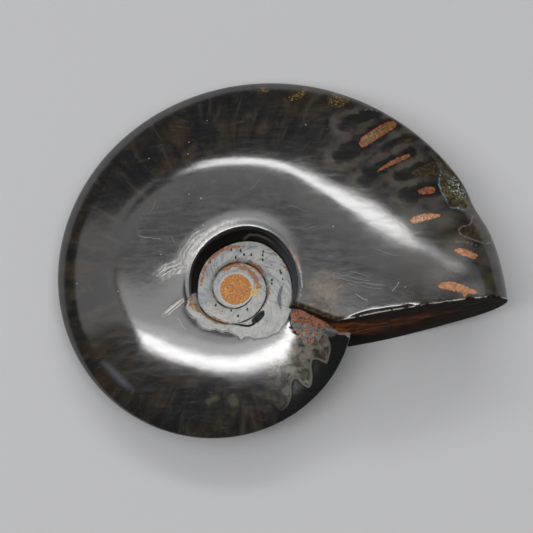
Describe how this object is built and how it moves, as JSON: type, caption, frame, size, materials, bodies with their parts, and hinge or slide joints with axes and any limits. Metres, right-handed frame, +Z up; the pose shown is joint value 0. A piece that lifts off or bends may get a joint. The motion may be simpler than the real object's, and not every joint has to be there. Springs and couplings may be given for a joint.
{
  "type": "polished ammonite fossil",
  "caption": "Coiled ammonite fossil, cut across the aperture and polished black, with ground flats on both sides and a deep umbilicus. It lies on its side.",
  "frame": {"origin": "middle of the stone's outline, on the surface that its lower flat rests on", "axes": "+X runs towards the aperture, along the greatest width; +Z is up, through the two umbilici; +Y is away from the open side of the aperture"},
  "size_m": [0.0742, 0.0606, 0.0201],
  "materials": {
    "polished_stone": "polished black stone, with matt grey, orange and rust-brown mineral in the umbilicus, on the cut and along the rim"
  },
  "bodies": {
    "root": {"ammonite": "polished_stone"}
  },
  "joints": []
}
